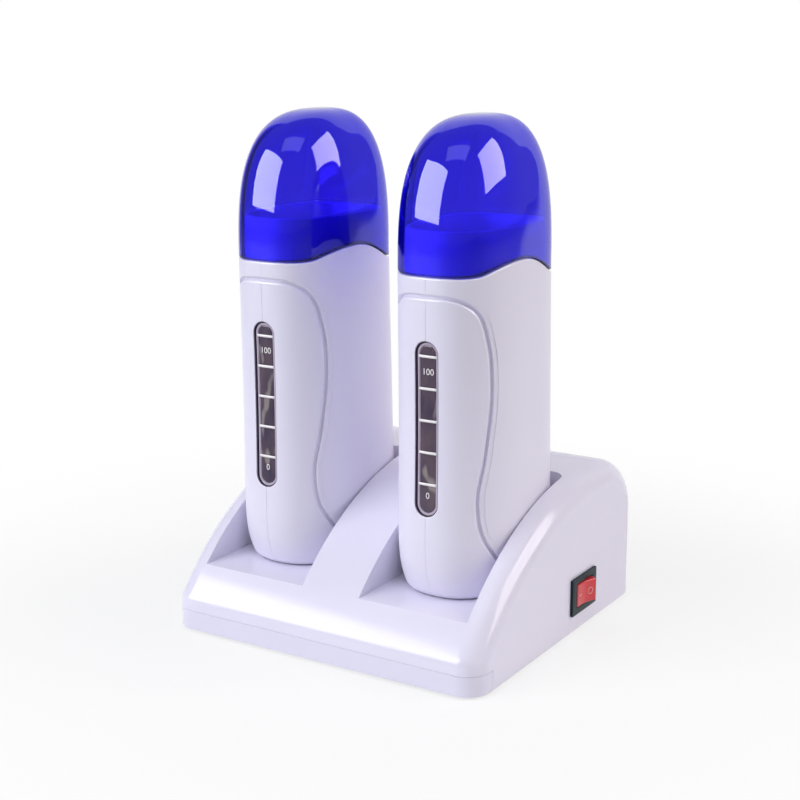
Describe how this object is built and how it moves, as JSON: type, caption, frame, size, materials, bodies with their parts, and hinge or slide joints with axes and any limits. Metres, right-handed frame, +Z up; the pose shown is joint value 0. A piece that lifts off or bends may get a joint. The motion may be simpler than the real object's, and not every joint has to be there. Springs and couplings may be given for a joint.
{
  "type": "roll on wax heater",
  "caption": "Desk-top wax heater: a ramped base with a rocker switch holds upright oval handsets, each with a level window and a lift-off dome cap in clear deep blue.",
  "frame": {"origin": "on the table, under the middle of the whole heater's box, with the switch and the inlet counted", "axes": "+Z up; the front, with the low end of the ramp and the windows, faces -Y; +X is to the right of someone who faces the front, the side with the switch"},
  "size_m": [0.1444, 0.1376, 0.2039],
  "materials": {
    "base_plastic": "glossy white plastic with a faint lavender cast",
    "plate_plastic": "satin white plastic",
    "feet_rubber": "dark grey rubber",
    "steel": "zinc-plated steel",
    "brass": "bright brass",
    "holder_plastic": "black moulded plastic",
    "switch_body": "black moulded plastic",
    "rocker_red": "red moulded plastic with pale marks",
    "inlet_plastic": "black moulded plastic",
    "inlet_pins": "nickel-plated pins",
    "block_plastic": "natural nylon",
    "wire_sleeve": "insulated wire",
    "handset_plastic": "glossy white plastic with a faint lavender cast",
    "handset_inner": "plain white plastic",
    "collar_plastic": "pale plastic seen through the cap",
    "window": "smoked window with pale level marks",
    "well_aluminium": "drawn aluminium",
    "felt": "heat-proof felt",
    "heater": "heater in an aluminium sleeve",
    "thermostat": "black bi-metal thermostat",
    "cap_plastic": "clear deep blue plastic"
  },
  "bodies": {
    "base": {"base_top_housing": "base_plastic", "base_bottom_plate": "plate_plastic", "base_feet": "feet_rubber", "base_screws": "steel", "switch_housing": "switch_body", "switch_terminals": "brass", "inlet_socket": "inlet_plastic", "inlet_pins": "inlet_pins", "terminal_block": "block_plastic", "base_wiring": "wire_sleeve", "left_contact_holder": "holder_plastic", "right_contact_holder": "holder_plastic", "left_outer_contact_spring": "steel", "left_inner_contact_spring": "steel", "right_outer_contact_spring": "steel", "right_inner_contact_spring": "steel"},
    "rocker": {"switch_rocker": "rocker_red"},
    "contact_bridge": {"switch_contact_bridge": "brass"},
    "left_handset": {"left_handset_left_shell": "handset_plastic", "left_handset_right_shell": "handset_plastic", "left_handset_level_window": "window", "left_handset_neck_collar": "collar_plastic", "left_handset_bottom_plate": "handset_inner", "left_handset_heating_well": "well_aluminium", "left_handset_insulation_pads": "felt", "left_handset_ptc_heater": "heater", "left_handset_heater_clamp": "steel", "left_handset_thermostat": "thermostat", "left_handset_contact_plates": "brass", "left_handset_shell_screws": "steel", "left_handset_wiring": "wire_sleeve"},
    "left_cap": {"left_cap": "cap_plastic"},
    "left_outer_contact_pin": {"left_outer_contact_pin": "brass"},
    "left_inner_contact_pin": {"left_inner_contact_pin": "brass"},
    "right_handset": {"right_handset_left_shell": "handset_plastic", "right_handset_right_shell": "handset_plastic", "right_handset_level_window": "window", "right_handset_neck_collar": "collar_plastic", "right_handset_bottom_plate": "handset_inner", "right_handset_heating_well": "well_aluminium", "right_handset_insulation_pads": "felt", "right_handset_ptc_heater": "heater", "right_handset_heater_clamp": "steel", "right_handset_thermostat": "thermostat", "right_handset_contact_plates": "brass", "right_handset_shell_screws": "steel", "right_handset_wiring": "wire_sleeve"},
    "right_cap": {"right_cap": "cap_plastic"},
    "right_outer_contact_pin": {"right_outer_contact_pin": "brass"},
    "right_inner_contact_pin": {"right_inner_contact_pin": "brass"}
  },
  "joints": [
    {"name": "rocker_tilt", "type": "hinge", "parent": "base", "child": "rocker", "pos_m": [0.06585, 0.0164, 0.0156], "axis": [0, 0, 1], "range_deg": [0, 20]},
    {"name": "contact_bridge_tilt", "type": "hinge", "parent": "base", "child": "contact_bridge", "pos_m": [0.05844, 0.0164, 0.0156], "axis": [0, 0, 1], "range_deg": [-12, 0]},
    {"name": "left_handset_lift", "type": "slide", "parent": "base", "child": "left_handset", "axis": [0, 0, 1], "range_m": [0, 0.06]},
    {"name": "left_cap_lift", "type": "slide", "parent": "left_handset", "child": "left_cap", "axis": [0, 0, 1], "range_m": [0, 0.045]},
    {"name": "left_outer_contact_press", "type": "slide", "parent": "base", "child": "left_outer_contact_pin", "axis": [0, 0, 1], "range_m": [-0.0008, 0], "stiffness_N_per_m": 200, "springref_m": 0.002, "deforming": ["left_outer_contact_spring"]},
    {"name": "left_inner_contact_press", "type": "slide", "parent": "base", "child": "left_inner_contact_pin", "axis": [0, 0, 1], "range_m": [-0.0008, 0], "stiffness_N_per_m": 200, "springref_m": 0.002, "deforming": ["left_inner_contact_spring"]},
    {"name": "right_handset_lift", "type": "slide", "parent": "base", "child": "right_handset", "axis": [0, 0, 1], "range_m": [0, 0.06]},
    {"name": "right_cap_lift", "type": "slide", "parent": "right_handset", "child": "right_cap", "axis": [0, 0, 1], "range_m": [0, 0.045]},
    {"name": "right_outer_contact_press", "type": "slide", "parent": "base", "child": "right_outer_contact_pin", "axis": [0, 0, 1], "range_m": [-0.0008, 0], "stiffness_N_per_m": 200, "springref_m": 0.002, "deforming": ["right_outer_contact_spring"]},
    {"name": "right_inner_contact_press", "type": "slide", "parent": "base", "child": "right_inner_contact_pin", "axis": [0, 0, 1], "range_m": [-0.0008, 0], "stiffness_N_per_m": 200, "springref_m": 0.002, "deforming": ["right_inner_contact_spring"]}
  ],
  "couplings": [
    {"joint": "contact_bridge_tilt", "follows": "rocker_tilt", "ratio": -0.6}
  ]
}
